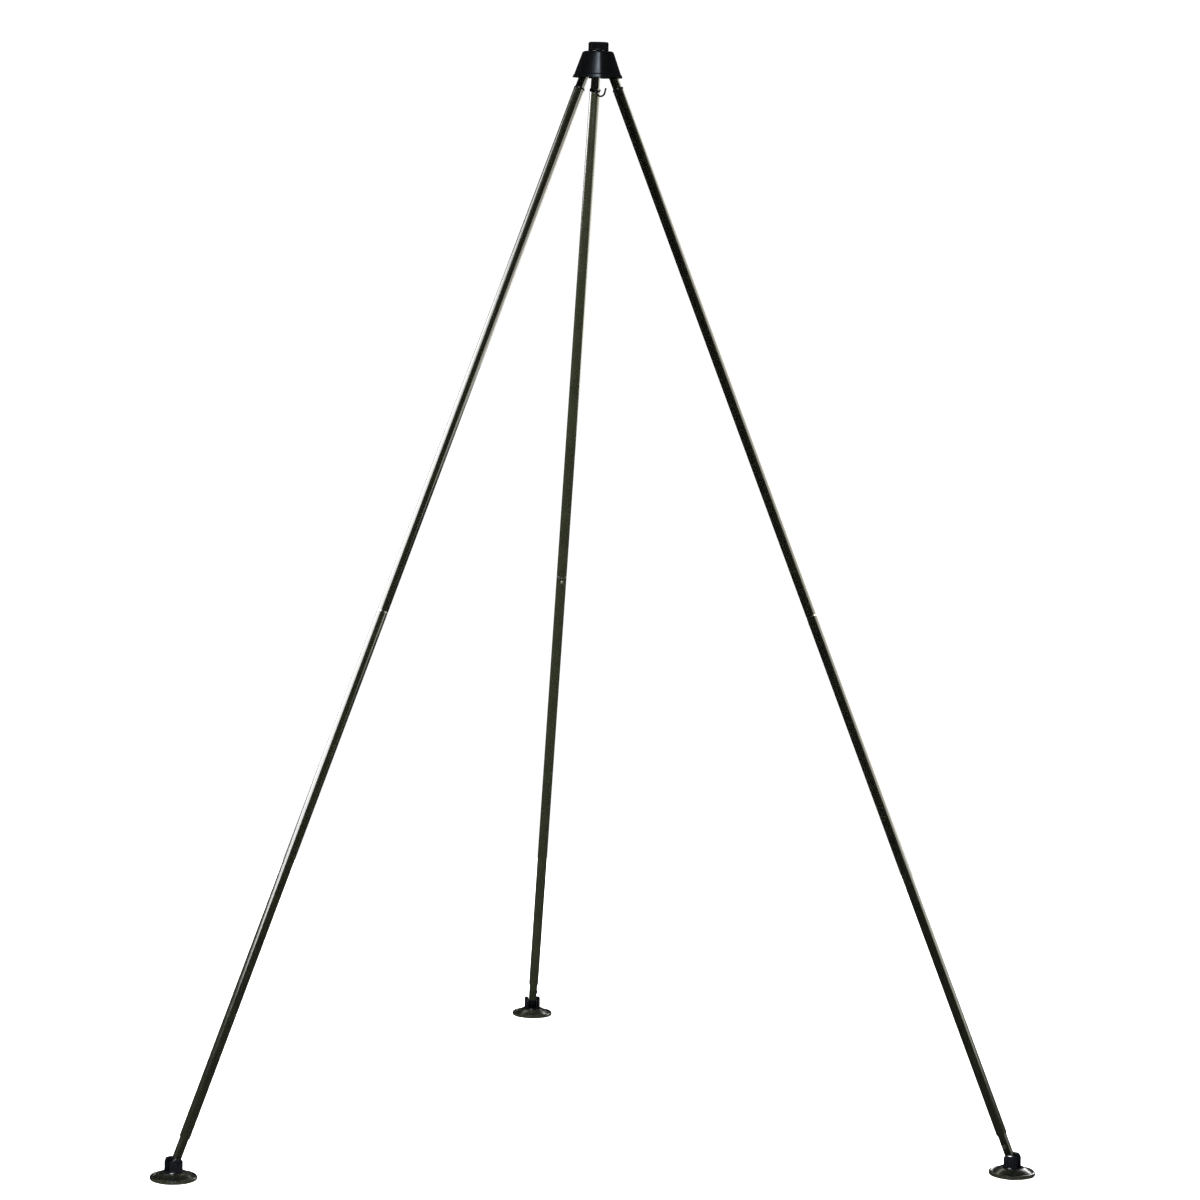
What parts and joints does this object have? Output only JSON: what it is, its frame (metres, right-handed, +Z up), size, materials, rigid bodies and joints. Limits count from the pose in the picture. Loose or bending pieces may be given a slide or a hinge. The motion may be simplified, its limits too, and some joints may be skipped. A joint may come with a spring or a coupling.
{
  "type": "tripod hanging stand",
  "caption": "Folding three-legged stand of round steel tube with a knob-topped hub, a hook under it and swivelling round feet, for hanging a load over the ground.",
  "frame": {"origin": "on the ground right below the hub's axis, midway between the feet", "axes": "+Z up along the hub's axis; +Y towards the back leg's foot; the left leg points to azimuth 210 degrees and the right leg to 330 degrees"},
  "size_m": [1.5118, 1.3199, 1.9227],
  "materials": {
    "olive_paint": "semi-gloss dark olive paint on steel tube",
    "black_plastic": "smooth black moulding with a soft sheen",
    "cast_core": "black enamelled casting",
    "plated_steel": "zinc plated, satin",
    "bare_steel": "bright turned steel",
    "olive_steel": "dull olive-grey coating",
    "foot_plastic": "black moulding with a soft sheen",
    "disc_plastic": "olive-grey moulding, slightly glossy"
  },
  "bodies": {
    "hub": {"hub_cover": "black_plastic", "hub_core": "cast_core", "hinge_bolts": "plated_steel", "hinge_nuts": "plated_steel", "knob_washer": "plated_steel"},
    "swivel": {"eye_bolt": "plated_steel", "top_knob": "black_plastic"},
    "hook": {"hook": "plated_steel"},
    "back_leg": {"back_hinge_tongue": "olive_paint", "back_top_collar": "black_plastic", "back_upper_tube": "olive_paint"},
    "back_lower": {"back_lower_tube": "olive_paint", "back_ferrule": "bare_steel", "back_ferrule_rivet": "olive_steel", "back_foot_stem": "olive_paint", "back_stem_rivet": "olive_steel", "back_swivel_eye": "foot_plastic"},
    "back_foot": {"back_foot_clevis": "foot_plastic", "back_clevis_pin": "bare_steel", "back_foot_disc": "disc_plastic", "back_foot_washer": "bare_steel", "back_foot_screw": "bare_steel"},
    "left_leg": {"left_hinge_tongue": "olive_paint", "left_top_collar": "black_plastic", "left_upper_tube": "olive_paint"},
    "left_lower": {"left_lower_tube": "olive_paint", "left_ferrule": "bare_steel", "left_ferrule_rivet": "olive_steel", "left_foot_stem": "olive_paint", "left_stem_rivet": "olive_steel", "left_swivel_eye": "foot_plastic"},
    "left_foot": {"left_foot_clevis": "foot_plastic", "left_clevis_pin": "bare_steel", "left_foot_disc": "disc_plastic", "left_foot_washer": "bare_steel", "left_foot_screw": "bare_steel"},
    "right_leg": {"right_hinge_tongue": "olive_paint", "right_top_collar": "black_plastic", "right_upper_tube": "olive_paint"},
    "right_lower": {"right_lower_tube": "olive_paint", "right_ferrule": "bare_steel", "right_ferrule_rivet": "olive_steel", "right_foot_stem": "olive_paint", "right_stem_rivet": "olive_steel", "right_swivel_eye": "foot_plastic"},
    "right_foot": {"right_foot_clevis": "foot_plastic", "right_clevis_pin": "bare_steel", "right_foot_disc": "disc_plastic", "right_foot_washer": "bare_steel", "right_foot_screw": "bare_steel"}
  },
  "joints": [
    {"name": "knob_turn", "type": "hinge", "parent": "hub", "child": "swivel", "pos_m": [0, 0, 1.86037], "axis": [0, 0, 1], "continuous": true},
    {"name": "hook_swing", "type": "hinge", "parent": "swivel", "child": "hook", "pos_m": [0, 0, 1.86437], "axis": [-0.5, 0.866, 0], "range_deg": [-35, 35]},
    {"name": "back_leg_fold", "type": "hinge", "parent": "hub", "child": "back_leg", "pos_m": [0, 0.022, 1.88037], "axis": [-1, 0, 0], "range_deg": [0, 22.3]},
    {"name": "back_section_pull", "type": "slide", "parent": "back_leg", "child": "back_lower", "axis": [0, 0.3971, -0.9178], "range_m": [0, 0.07]},
    {"name": "back_foot_swivel", "type": "hinge", "parent": "back_lower", "child": "back_foot", "pos_m": [0, 0.82662, 0.021], "axis": [-1, 0, 0], "range_deg": [-35, 35]},
    {"name": "left_leg_fold", "type": "hinge", "parent": "hub", "child": "left_leg", "pos_m": [-0.01905, -0.011, 1.88037], "axis": [0.5, -0.866, 0], "range_deg": [0, 22.3]},
    {"name": "left_section_pull", "type": "slide", "parent": "left_leg", "child": "left_lower", "axis": [-0.3439, -0.1986, -0.9178], "range_m": [0, 0.07]},
    {"name": "left_foot_swivel", "type": "hinge", "parent": "left_lower", "child": "left_foot", "pos_m": [-0.71588, -0.41331, 0.021], "axis": [0.5, -0.866, 0], "range_deg": [-35, 35]},
    {"name": "right_leg_fold", "type": "hinge", "parent": "hub", "child": "right_leg", "pos_m": [0.01905, -0.011, 1.88037], "axis": [0.5, 0.866, 0], "range_deg": [0, 22.3]},
    {"name": "right_section_pull", "type": "slide", "parent": "right_leg", "child": "right_lower", "axis": [0.3439, -0.1986, -0.9178], "range_m": [0, 0.07]},
    {"name": "right_foot_swivel", "type": "hinge", "parent": "right_lower", "child": "right_foot", "pos_m": [0.71588, -0.41331, 0.021], "axis": [0.5, 0.866, 0], "range_deg": [-35, 35]}
  ]
}
